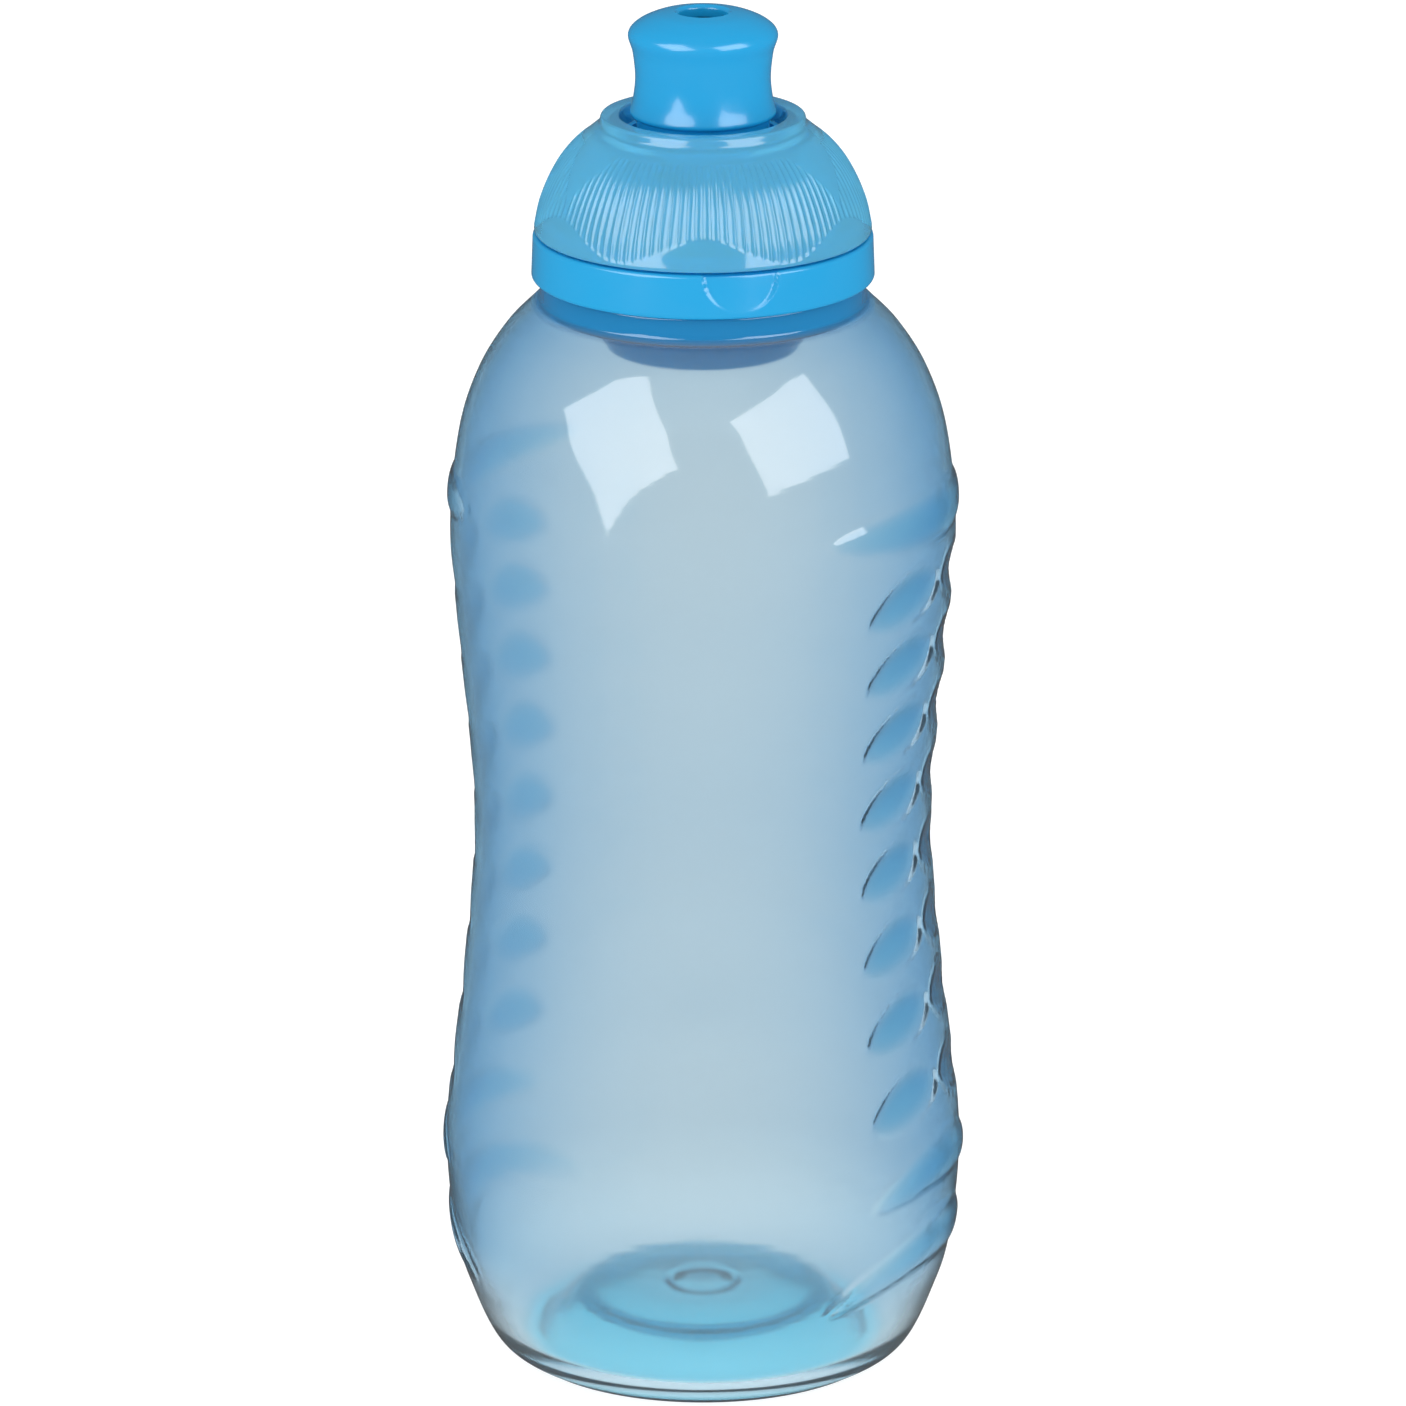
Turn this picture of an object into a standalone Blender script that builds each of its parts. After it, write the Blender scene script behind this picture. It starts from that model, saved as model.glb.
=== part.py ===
"""A sports squeeze bottle: a thin squeezable body and a screw-on cap whose dome twists the nozzle up and down.

Metres, +Z up. The origin is the centre of the ring that the bottle rests on, -Y is the front and the
two ribbed grips face +X and -X. The nozzle is modelled raised, with the cap screwed down.
"""
import math

import bmesh
import bpy
from mathutils import Vector

MM = 0.001
OBJECT_NAME = "sports_squeeze_bottle"
SEGMENTS = 36
MERGE = 0.00001
GAP = 0.3 * MM

# Bottle body
WALL = 1.1 * MM
FOOT_OUTER_R = 25.7 * MM
FOOT_INNER_R = 22.6 * MM
PUNT_HEIGHT = 7.0 * MM
WAIST_R = 31.75 * MM
BELLY_R = 35.95 * MM
CHEST_R = 34.85 * MM
BAND_R = 22.3 * MM
BAND_BOTTOM_Z = 152.4 * MM
BAND_TOP_Z = 155.0 * MM
NECK_R = 21.3 * MM
RIM_Z = 158.7 * MM

# Grip ribs: eleven arches on each side, whose steps grow a little towards the foot
GRIP_RIBS = 11
RIB_TOP_Z = 125.0 * MM
RIB_STEP = 9.2 * MM
RIB_STEP_GROWTH = 0.125 * MM
RIB_HALF_WIDTH = 2.3 * MM
RIB_HEIGHT = 0.85 * MM
RIB_RISE = 2.6 * MM
RIB_HALF_SPAN = math.radians(27)
END_RIB_HALF_SPAN = math.radians(40)
RIB_TIP = 0.98
RIB_STATIONS = 6
RIB_SIDES = 4

# Screw thread between the neck and the cap ring
THREAD_STARTS = 2
THREAD_LEAD = 5.0 * MM
THREAD_HEIGHT = 0.8 * MM
NECK_THREAD_CREST_R = 22.2 * MM
NECK_THREAD_TOP_Z = 158.2 * MM
NECK_THREAD_ARC = math.radians(144)
CAP_THREAD_CREST_R = 21.75 * MM
CAP_THREAD_ARC = math.radians(90)
THREAD_END_ANGLE = math.radians(2)
THREAD_STEP = math.radians(12)

# Cap base
RING_R = 23.5 * MM
RING_BORE_R = 22.75 * MM
RING_BOTTOM_Z = 155.2 * MM
DECK_TOP_Z = 161.3 * MM
DECK_UNDER_Z = 160.1 * MM
PLUG_R = 19.9 * MM
PLUG_WALL = 1.0 * MM
PLUG_BOTTOM_Z = 152.0 * MM
WELL_R = 13.3 * MM
WELL_BORE_R = 12.0 * MM
WELL_BOTTOM_Z = 145.2 * MM
CAGE_R = 11.1 * MM
CAGE_BORE_R = 10.3 * MM
CAGE_TOP_Z = 175.4 * MM
CAGE_RING_HEIGHT = 0.8 * MM
CAGE_POSTS = 6
CAGE_POST_ARC = math.radians(13)
CAGE_TURN = math.radians(-10)
WINDOW_SPARE = 1.0 * MM
CLIP_RIM_R = 21.2 * MM
CLIP_RIM_TOP_Z = 163.2 * MM

# Cap gasket
GASKET_R = 22.4 * MM
GASKET_BORE_R = 20.2 * MM

# Valve post
POST_DISC_R = 11.8 * MM
POST_DISC_BOTTOM_Z = 145.9 * MM
POST_DISC_TOP_Z = 147.1 * MM
POST_R = 2.3 * MM
POST_TIP_R = 3.05 * MM
POST_TIP_Z = 183.0 * MM
FLOW_HOLES = 6
FLOW_HOLE_R = 2.4 * MM
FLOW_CIRCLE_R = 7.4 * MM
FLOW_HOLE_START = math.radians(4)

# Nozzle, raised
NOZZLE_TOP_Z = 192.3 * MM
NOZZLE_TRAVEL = 9.0 * MM
OUTLET_R = 3.35 * MM
HEAD_R = 10.22 * MM
NOZZLE_WAIST_R = 9.25 * MM
FLARE_R = 10.0 * MM
FLARE_BOTTOM_Z = 178.0 * MM
SKIRT_R = 9.1 * MM
SKIRT_BORE_R = 7.8 * MM
PISTON_R = 11.7 * MM
PISTON_TOP_Z = 159.8 * MM
PISTON_BOTTOM_Z = 156.5 * MM
SEAL_GROOVE_R = 10.6 * MM
SEAL_GROOVE_HALF = 0.85 * MM
KEYS = 3
KEY_R = 10.9 * MM
KEY_ARC = math.radians(43)
KEY_HEIGHT = 2.1 * MM
PIN_RADIUS = 1.0 * MM
PIN_REACH_R = 12.6 * MM
PIN_Z = 173.25 * MM

# Nozzle seal
SEAL_R = 11.85 * MM
SEAL_BORE_R = 10.8 * MM
SEAL_HALF = 0.6 * MM

# Twist dome
DOME_TWIST = math.radians(90)
COLLAR_BORE_R = 11.4 * MM
COLLAR_R = 13.95 * MM
COLLAR_TOP_Z = 177.9 * MM
SLEEVE_R = 12.8 * MM
SLEEVE_BOTTOM_Z = 161.9 * MM
DOME_R = 23.1 * MM
DOME_BOTTOM_Z = 161.6 * MM
TRACK_HALF_HEIGHT = 1.45 * MM
TRACK_STEP = math.radians(8)

BODY_COLOUR = (0.33, 0.53, 0.62, 1.0)
CAP_COLOUR = (0.03, 0.38, 0.70, 1.0)
DOME_COLOUR = (0.16, 0.50, 0.72, 1.0)
RUBBER_COLOUR = (0.75, 0.77, 0.78, 1.0)


def clear_scene():
    for item in list(bpy.data.objects):
        bpy.data.objects.remove(item, do_unlink=True)


def make_collection(name, hidden=False):
    collection = bpy.data.collections.new(name)
    bpy.context.scene.collection.children.link(collection)
    collection.hide_render = hidden
    return collection


def make_material(name, colour, roughness, alpha=1.0):
    material = bpy.data.materials.new(name)
    material.use_nodes = True
    shader = material.node_tree.nodes["Principled BSDF"]
    shader.inputs["Base Color"].default_value = colour
    shader.inputs["Roughness"].default_value = roughness
    shader.inputs["Metallic"].default_value = 0.0
    shader.inputs["Alpha"].default_value = alpha
    return material


def mm(points):
    """Points given as (radius, height) in millimetres, in metres."""
    return [(radius * MM, height * MM) for radius, height in points]


def smooth(points, steps=2):
    """A Catmull-Rom curve through (radius, height) points, with that many steps between neighbours."""
    first = Vector(points[0]) * 2 - Vector(points[1])
    last = Vector(points[-1]) * 2 - Vector(points[-2])
    line = [first] + [Vector(point) for point in points] + [last]
    curve = []
    for index in range(1, len(line) - 2):
        before, start, end, after = line[index - 1:index + 3]
        for step in range(steps):
            t = step / steps
            spot = (start * 2 + (end - before) * t + (before * 2 - start * 5 + end * 4 - after) * t ** 2
                    + (start * 3 - before - end * 3 + after) * t ** 3) / 2
            curve.append(tuple(spot))
    curve.append(points[-1])
    return curve


def add_mesh_object(name, mesh, collection):
    item = bpy.data.objects.new(name, mesh)
    collection.objects.link(item)
    return item


def turned(name, outline, collection, closed=True, segments=SEGMENTS):
    """A body turned about Z from an outline that runs down the outer side and up the inner side."""
    mesh = bpy.data.meshes.new(name)
    vertices = [(radius, 0.0, height) for radius, height in outline]
    edges = [(index, index + 1) for index in range(len(outline) - 1)]
    if closed:
        edges.append((len(outline) - 1, 0))
    mesh.from_pydata(vertices, edges, [])
    item = add_mesh_object(name, mesh, collection)
    screw = item.modifiers.new("turn", "SCREW")
    screw.axis = "Z"
    screw.angle = math.tau
    screw.steps = segments
    screw.render_steps = segments
    screw.use_merge_vertices = True
    screw.merge_threshold = MERGE
    screw.use_smooth_shade = True
    return item


def combine(item, other, operation):
    boolean = item.modifiers.new(operation.lower(), "BOOLEAN")
    boolean.operation = operation
    boolean.object = other
    boolean.solver = "EXACT"


def hide_helper(item):
    item.hide_render = True
    item.display_type = "WIRE"


def add_loft(shape, rings):
    """Adds a closed body through rings of the same number of points, with a flat cap on each end."""
    rows = [[shape.verts.new(point) for point in ring] for ring in rings]
    count = len(rows[0])
    for lower, upper in zip(rows, rows[1:]):
        for index in range(count):
            following = (index + 1) % count
            shape.faces.new((lower[index], lower[following], upper[following], upper[index]))
    shape.faces.new(rows[0][::-1])
    shape.faces.new(rows[-1])


def lofts(name, bodies, collection):
    """A helper object that holds one lofted body, or several that don't touch."""
    shape = bmesh.new()
    for rings in bodies:
        add_loft(shape, rings)
    bmesh.ops.recalc_face_normals(shape, faces=shape.faces)
    mesh = bpy.data.meshes.new(name)
    shape.to_mesh(mesh)
    shape.free()
    item = add_mesh_object(name, mesh, collection)
    hide_helper(item)
    return item


def polar(radius, angle, height):
    return Vector((radius * math.cos(angle), radius * math.sin(angle), height))


def arc_bar(span, radii, height_at, half_height, step):
    """The rings of a rectangular bar that follows an arc about Z, with its middle at height_at(angle)."""
    start, end = span
    count = max(1, round(abs(end - start) / step))
    rings = []
    for index in range(count + 1):
        angle = start + (end - start) * index / count
        middle = height_at(angle)
        corners = ((0, -1), (1, -1), (1, 1), (0, 1))
        rings.append([polar(radii[side], angle, middle + up * half_height) for side, up in corners])
    return rings


def body_side():
    """The body's outer side from the shoulder to the foot."""
    return smooth(mm([(23.3, 151.6)]) + mm([(27.3, 147.4), (31.0, 141.3), (33.6, 133.0)])
                  + [(CHEST_R, 120.0 * MM)] + mm([(33.9, 105.5)]) + [(WAIST_R, 79.0 * MM)]
                  + mm([(33.3, 56.5)]) + [(BELLY_R, 33.0 * MM)] + mm([(34.8, 17.3), (32.5, 9.3), (29.4, 2.7)])
                  + [(FOOT_OUTER_R, 0.0)])


def body_radius(height):
    """The body's outer radius at a height, read off its side."""
    side = body_side()
    for (upper_r, upper_z), (lower_r, lower_z) in zip(side, side[1:]):
        if lower_z <= height <= upper_z:
            share = (height - lower_z) / (upper_z - lower_z)
            return lower_r + (upper_r - lower_r) * share
    return side[-1][0]


def grip_rib(side, index):
    """One arched rib across a grip: highest at the side, pointed at both ends."""
    at_end = index in (0, GRIP_RIBS - 1)
    half_span = END_RIB_HALF_SPAN if at_end else RIB_HALF_SPAN
    crown = RIB_TOP_Z - RIB_STEP * index - RIB_STEP_GROWTH * index * index
    facing = 0.0 if side > 0 else math.pi
    rings = []
    for station in range(RIB_STATIONS):
        along = RIB_TIP * (2 * station / (RIB_STATIONS - 1) - 1)
        fullness = math.sqrt(1 - along * along)
        middle = crown - RIB_RISE * along * along
        ring = []
        for corner in range(RIB_SIDES):
            turn = math.tau * corner / RIB_SIDES
            height = middle + RIB_HALF_WIDTH * fullness * math.sin(turn)
            radius = body_radius(height) + RIB_HEIGHT * fullness * math.cos(turn)
            ring.append(polar(radius, facing + along * half_span, height))
        rings.append(ring)
    return rings


def thread_height(start_angle, top):
    """The height of a thread's middle at an angle, with its upper end at start_angle."""
    return lambda angle: top - (start_angle - angle) * THREAD_LEAD / math.tau


def thread(start, arc, radii, top):
    """One start of a screw thread, whose middle ends at the height top."""
    end = THREAD_END_ANGLE + math.tau * start / THREAD_STARTS
    return arc_bar((end - arc, end), radii, thread_height(end, top), THREAD_HEIGHT / 2, THREAD_STEP)


def make_bottle_body(parts, cutters):
    neck = [(NECK_R, RIM_Z), (NECK_R, BAND_TOP_Z + 0.4 * MM), (BAND_R, BAND_TOP_Z), (BAND_R, BAND_BOTTOM_Z)]
    foot = [(FOOT_INNER_R, 0.0)]
    punt = smooth([(FOOT_INNER_R - 1.2 * MM, 1.0 * MM), (16.2 * MM, 5.6 * MM)], 1)
    crown = smooth([(11.0 * MM, 6.5 * MM), (5.0 * MM, PUNT_HEIGHT - 0.1 * MM), (0.0, PUNT_HEIGHT)], 1)
    item = turned("bottle_body", neck + body_side() + foot + punt + crown, parts, closed=False)
    shell = item.modifiers.new("wall", "SOLIDIFY")
    shell.thickness = WALL
    shell.offset = -1.0
    shell.use_even_offset = True
    threads = [thread(start, NECK_THREAD_ARC, (NECK_R - 0.4 * MM, NECK_THREAD_CREST_R), NECK_THREAD_TOP_Z)
               for start in range(THREAD_STARTS)]
    ribs = [grip_rib(side, index) for side in (-1, 1) for index in range(GRIP_RIBS)]
    combine(item, lofts("threads_and_ribs", threads + ribs, cutters), "UNION")
    return item


def cage_window(index):
    """The opening between two posts of the cage. The three that take the nozzle's keys also cut the lip."""
    middle = CAGE_TURN + math.tau * (index + 0.5) / CAGE_POSTS
    half = math.pi / CAGE_POSTS - CAGE_POST_ARC / 2
    takes_key = index % 2 == 0
    bottom = DECK_UNDER_Z - WINDOW_SPARE if takes_key else DECK_TOP_Z
    top = CAGE_TOP_Z - CAGE_RING_HEIGHT
    radii = (CAGE_BORE_R - WINDOW_SPARE, CAGE_R + GAP / 2)
    return arc_bar((middle - half, middle + half), radii, lambda angle: (bottom + top) / 2,
                   (top - bottom) / 2, math.tau / SEGMENTS)


def make_cap_base(parts, cutters):
    ring = [(RING_R - 0.5 * MM, DECK_TOP_Z), (RING_R - 0.2 * MM, DECK_TOP_Z - 0.3 * MM),
            (RING_R, RING_BOTTOM_Z + 0.3 * MM), (RING_R - 0.2 * MM, RING_BOTTOM_Z),
            (RING_BORE_R, RING_BOTTOM_Z), (RING_BORE_R, DECK_UNDER_Z)]
    plug = [(PLUG_R, DECK_UNDER_Z), (PLUG_R, PLUG_BOTTOM_Z + 0.6 * MM), (PLUG_R - 0.4 * MM, PLUG_BOTTOM_Z),
            (PLUG_R - PLUG_WALL, PLUG_BOTTOM_Z), (PLUG_R - PLUG_WALL, DECK_UNDER_Z)]
    well = [(WELL_R, DECK_UNDER_Z), (WELL_R, WELL_BOTTOM_Z), (WELL_BORE_R - 0.5 * MM, WELL_BOTTOM_Z),
            (WELL_BORE_R, WELL_BOTTOM_Z + 0.4 * MM), (WELL_BORE_R, DECK_UNDER_Z)]
    cage = [(CAGE_BORE_R, DECK_UNDER_Z), (CAGE_BORE_R, CAGE_TOP_Z), (CAGE_R, CAGE_TOP_Z), (CAGE_R, DECK_TOP_Z)]
    clip = [(CLIP_RIM_R - 1.0 * MM, DECK_TOP_Z), (CLIP_RIM_R - 1.0 * MM, CLIP_RIM_TOP_Z),
            (CLIP_RIM_R, CLIP_RIM_TOP_Z), (CLIP_RIM_R + GAP, CLIP_RIM_TOP_Z - 0.5 * MM),
            (CLIP_RIM_R, CLIP_RIM_TOP_Z - 0.9 * MM), (CLIP_RIM_R, DECK_TOP_Z)]
    item = turned("cap_base", ring + plug + well + cage + clip, parts)
    windows = [cage_window(index) for index in range(CAGE_POSTS)]
    combine(item, lofts("cage_windows", windows, cutters), "DIFFERENCE")
    top = NECK_THREAD_TOP_Z - THREAD_HEIGHT - GAP
    threads = [thread(start, CAP_THREAD_ARC, (CAP_THREAD_CREST_R, RING_BORE_R + 0.3 * MM), top)
               for start in range(THREAD_STARTS)]
    combine(item, lofts("cap_threads", threads, cutters), "UNION")
    return item


def make_cap_gasket(parts):
    bottom = RIM_Z + GAP
    top = DECK_UNDER_Z - GAP
    return turned("cap_gasket", [(GASKET_R, top), (GASKET_R, bottom), (GASKET_BORE_R, bottom),
                                 (GASKET_BORE_R, top)], parts)


def make_valve_post(parts, cutters):
    tip = [(0.0, POST_TIP_Z), (POST_TIP_R - 0.6 * MM, POST_TIP_Z), (POST_TIP_R, POST_TIP_Z - 0.6 * MM),
           (POST_TIP_R, POST_TIP_Z - 2.4 * MM), (POST_R, POST_TIP_Z - 3.6 * MM)]
    disc = [(POST_R, POST_DISC_TOP_Z + 1.2 * MM), (POST_R + 1.2 * MM, POST_DISC_TOP_Z),
            (POST_DISC_R, POST_DISC_TOP_Z), (POST_DISC_R, POST_DISC_BOTTOM_Z), (0.0, POST_DISC_BOTTOM_Z)]
    item = turned("valve_post", tip + disc, parts, closed=False, segments=SEGMENTS // 2)
    for index in range(FLOW_HOLES):
        angle = FLOW_HOLE_START + math.tau * index / FLOW_HOLES
        middle = polar(FLOW_CIRCLE_R, angle, (POST_DISC_TOP_Z + POST_DISC_BOTTOM_Z) / 2)
        drill = round_bar(f"flow_hole_{index}", middle, FLOW_HOLE_R, 4 * MM, Vector((0, 0, 1)), cutters)
        combine(item, drill, "DIFFERENCE")
    return item


def round_bar(name, middle, radius, length, axis, collection, sides=12):
    """A short cylinder about an axis, used as a cutter or as a pin to join on."""
    shape = bmesh.new()
    bmesh.ops.create_cone(shape, cap_ends=True, segments=sides, radius1=radius, radius2=radius, depth=length)
    mesh = bpy.data.meshes.new(name)
    shape.to_mesh(mesh)
    shape.free()
    item = add_mesh_object(name, mesh, collection)
    item.rotation_mode = "QUATERNION"
    item.rotation_quaternion = axis.to_track_quat("Z", "Y")
    item.location = middle
    hide_helper(item)
    return item


def key_angle(index):
    """The middle of the cage window that a key slides in."""
    return CAGE_TURN + math.tau * (2 * index + 0.5) / CAGE_POSTS


def make_nozzle(parts, cutters):
    head = smooth([(OUTLET_R, NOZZLE_TOP_Z), (6.5 * MM, NOZZLE_TOP_Z - 0.5 * MM),
                   (9.1 * MM, NOZZLE_TOP_Z - 1.7 * MM), (HEAD_R, NOZZLE_TOP_Z - 3.2 * MM),
                   (9.6 * MM, NOZZLE_TOP_Z - 5.6 * MM), (NOZZLE_WAIST_R, NOZZLE_TOP_Z - 9.0 * MM),
                   (9.5 * MM, 180.5 * MM), (FLARE_R, FLARE_BOTTOM_Z + 0.3 * MM)])
    flare = [(FLARE_R, FLARE_BOTTOM_Z), (SKIRT_R, FLARE_BOTTOM_Z - 0.4 * MM)]
    groove = (PISTON_TOP_Z + PISTON_BOTTOM_Z) / 2
    piston = [(SKIRT_R, PISTON_TOP_Z), (PISTON_R, PISTON_TOP_Z), (PISTON_R, groove + SEAL_GROOVE_HALF),
              (SEAL_GROOVE_R, groove + SEAL_GROOVE_HALF), (SEAL_GROOVE_R, groove - SEAL_GROOVE_HALF),
              (PISTON_R, groove - SEAL_GROOVE_HALF), (PISTON_R, PISTON_BOTTOM_Z),
              (SKIRT_BORE_R, PISTON_BOTTOM_Z)]
    inside = [(SKIRT_BORE_R, NOZZLE_TOP_Z - 5.6 * MM), (7.0 * MM, NOZZLE_TOP_Z - 3.0 * MM),
              (5.2 * MM, NOZZLE_TOP_Z - 1.9 * MM), (OUTLET_R, NOZZLE_TOP_Z - 1.7 * MM)]
    item = turned("nozzle", head + flare + piston + inside, parts)
    for index in range(KEYS):
        angle = key_angle(index)
        key = arc_bar((angle - KEY_ARC / 2, angle + KEY_ARC / 2), (SKIRT_R - 0.5 * MM, KEY_R),
                      lambda turn: PIN_Z, KEY_HEIGHT / 2, math.tau / SEGMENTS)
        combine(item, lofts(f"nozzle_key_{index}", [key], cutters), "UNION")
        middle = polar((SKIRT_R + PIN_REACH_R) / 2, angle, PIN_Z)
        pin = round_bar(f"nozzle_pin_{index}", middle, PIN_RADIUS, PIN_REACH_R - SKIRT_R,
                        polar(1, angle, 0), cutters)
        combine(item, pin, "UNION")
    return item


def make_nozzle_seal(parts):
    middle = (PISTON_TOP_Z + PISTON_BOTTOM_Z) / 2
    top = middle + SEAL_HALF
    bottom = middle - SEAL_HALF
    lip = 0.35 * MM
    return turned("nozzle_seal", [(SEAL_BORE_R, top), (SEAL_R - lip, top), (SEAL_R, middle),
                                  (SEAL_R - lip, bottom), (SEAL_BORE_R, bottom)], parts)


def dome_track(index):
    """The helical track that a nozzle pin runs in, from the top at rest to the bottom a quarter turn on."""
    start = key_angle(index)
    slope = NOZZLE_TRAVEL / DOME_TWIST
    spare = (PIN_RADIUS + GAP) / SLEEVE_R
    return arc_bar((start - spare, start + DOME_TWIST + spare),
                   (COLLAR_BORE_R - 0.6 * MM, SLEEVE_R + 0.6 * MM),
                   lambda angle: PIN_Z - (angle - start) * slope, TRACK_HALF_HEIGHT, TRACK_STEP)


def make_twist_dome(parts, cutters):
    collar = [(COLLAR_R - 0.35 * MM, COLLAR_TOP_Z), (COLLAR_R, COLLAR_TOP_Z - 0.35 * MM),
              (COLLAR_R + 0.35 * MM, COLLAR_TOP_Z - 1.4 * MM)]
    outside = smooth(mm([(14.9, 176.1), (18.1, 173.3), (20.35, 170.2), (22.2, 166.0)])
                     + [(DOME_R, DOME_BOTTOM_Z + 0.4 * MM)])
    lip = [(DOME_R - 0.2 * MM, DOME_BOTTOM_Z), (21.7 * MM, DOME_BOTTOM_Z), (21.4 * MM, DOME_BOTTOM_Z + 0.2 * MM),
           (21.4 * MM, DOME_BOTTOM_Z + 0.4 * MM), (21.8 * MM, DOME_BOTTOM_Z + 0.8 * MM)]
    inside = smooth(mm([(21.75, 163.4), (20.9, 166.0), (19.2, 169.3), (17.1, 172.0), (14.6, 174.1)]), 1)
    sleeve = [(SLEEVE_R, 174.9 * MM), (SLEEVE_R, SLEEVE_BOTTOM_Z), (COLLAR_BORE_R, SLEEVE_BOTTOM_Z),
              (COLLAR_BORE_R, COLLAR_TOP_Z - 0.2 * MM), (COLLAR_BORE_R + 0.2 * MM, COLLAR_TOP_Z)]
    item = turned("twist_dome", collar + outside + lip + inside + sleeve, parts)
    tracks = [dome_track(index) for index in range(KEYS)]
    combine(item, lofts("dome_tracks", tracks, cutters), "DIFFERENCE")
    return item


def main():
    clear_scene()
    parts = make_collection(OBJECT_NAME)
    cutters = make_collection("cutters", hidden=True)
    squeeze_plastic = make_material("squeeze_plastic", BODY_COLOUR, 0.25, 0.6)
    cap_plastic = make_material("cap_plastic", CAP_COLOUR, 0.3)
    dome_plastic = make_material("dome_plastic", DOME_COLOUR, 0.2, 0.6)
    seal_rubber = make_material("seal_rubber", RUBBER_COLOUR, 0.6)
    pieces = (
        (make_bottle_body(parts, cutters), squeeze_plastic),
        (make_cap_base(parts, cutters), cap_plastic),
        (make_cap_gasket(parts), seal_rubber),
        (make_valve_post(parts, cutters), cap_plastic),
        (make_nozzle(parts, cutters), cap_plastic),
        (make_nozzle_seal(parts), seal_rubber),
        (make_twist_dome(parts, cutters), dome_plastic),
    )
    for item, material in pieces:
        item.data.materials.append(material)


main()
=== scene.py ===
"""The looks of a sports squeeze bottle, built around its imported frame: fine moulded pieces and their plastics."""

import math

import bmesh
import bpy
import numpy as np
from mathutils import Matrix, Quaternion, Vector


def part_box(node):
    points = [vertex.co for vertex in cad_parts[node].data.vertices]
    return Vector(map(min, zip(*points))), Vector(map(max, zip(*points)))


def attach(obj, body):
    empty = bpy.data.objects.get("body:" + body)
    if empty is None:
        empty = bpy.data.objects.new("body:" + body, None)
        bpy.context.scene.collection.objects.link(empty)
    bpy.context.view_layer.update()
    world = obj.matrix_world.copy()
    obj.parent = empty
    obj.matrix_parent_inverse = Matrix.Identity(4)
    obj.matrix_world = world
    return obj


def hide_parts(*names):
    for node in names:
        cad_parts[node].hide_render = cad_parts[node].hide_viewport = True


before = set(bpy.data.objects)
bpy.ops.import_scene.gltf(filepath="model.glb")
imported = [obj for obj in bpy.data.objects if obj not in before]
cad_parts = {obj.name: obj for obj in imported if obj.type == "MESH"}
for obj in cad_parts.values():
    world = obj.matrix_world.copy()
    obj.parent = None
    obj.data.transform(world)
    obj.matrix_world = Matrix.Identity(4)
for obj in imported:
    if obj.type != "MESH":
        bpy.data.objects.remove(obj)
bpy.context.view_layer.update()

MM = 0.001

# Places read from the frame
BODY_HIGH = Vector(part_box("bottle_body")[1])
CAP_LOW, CAP_HIGH = (Vector(corner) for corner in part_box("cap_base"))
DOME_LOW, DOME_HIGH = (Vector(corner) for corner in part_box("twist_dome"))
NOZZLE_LOW, NOZZLE_HIGH = (Vector(corner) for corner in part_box("nozzle"))
POST_LOW, POST_HIGH = (Vector(corner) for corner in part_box("valve_post"))
GASKET_LOW, GASKET_HIGH = (Vector(corner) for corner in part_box("cap_gasket"))
SEAL_LOW, SEAL_HIGH = (Vector(corner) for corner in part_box("nozzle_seal"))
BELLY_SPARE = 0.06 * MM
BELLY_R = BODY_HIGH.y - BELLY_SPARE
RIM_Z = BODY_HIGH.z
RING_R = CAP_HIGH.x
WELL_BOTTOM_Z = CAP_LOW.z
CAGE_TOP_Z = CAP_HIGH.z
DOME_R = DOME_HIGH.x
DOME_BOTTOM_Z = DOME_LOW.z
COLLAR_TOP_Z = DOME_HIGH.z
NOZZLE_TOP_Z = NOZZLE_HIGH.z
PISTON_BOTTOM_Z = NOZZLE_LOW.z
POST_TIP_Z = POST_HIGH.z
POST_DISC_BOTTOM_Z = POST_LOW.z

# Bottle body
NECK_WALL = 1.1 * MM
BASE_WALL = 2.4 * MM
FOOT_OUTER_R = 25.7 * MM
FOOT_INNER_R = 22.6 * MM
PUNT_HEIGHT = 7.0 * MM
WAIST_R = 31.75 * MM
CHEST_R = 34.85 * MM
SHOULDER_R = 23.3 * MM
SHOULDER_TOP_Z = 151.6 * MM
BAND_R = 22.3 * MM
BAND_BOTTOM_Z = 152.4 * MM
BAND_TOP_Z = 155.0 * MM
NECK_R = 21.3 * MM
BODY_COLUMNS = 400
GATE_R = 4.6 * MM
RELIEF = "relief"

# Screw thread between the neck and the cap ring
THREAD_STARTS = 2
THREAD_LEAD = 5.0 * MM
THREAD_HALF = 0.4 * MM
NECK_THREAD_DEPTH = 0.9 * MM
NECK_THREAD_TOP_Z = RIM_Z - 0.5 * MM
NECK_THREAD_ARC = math.radians(144)
CAP_THREAD_DEPTH = 1.0 * MM
CAP_THREAD_TOP_Z = NECK_THREAD_TOP_Z - 1.1 * MM
CAP_THREAD_ARC = math.radians(90)
THREAD_END_ANGLE = math.radians(2)

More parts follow.
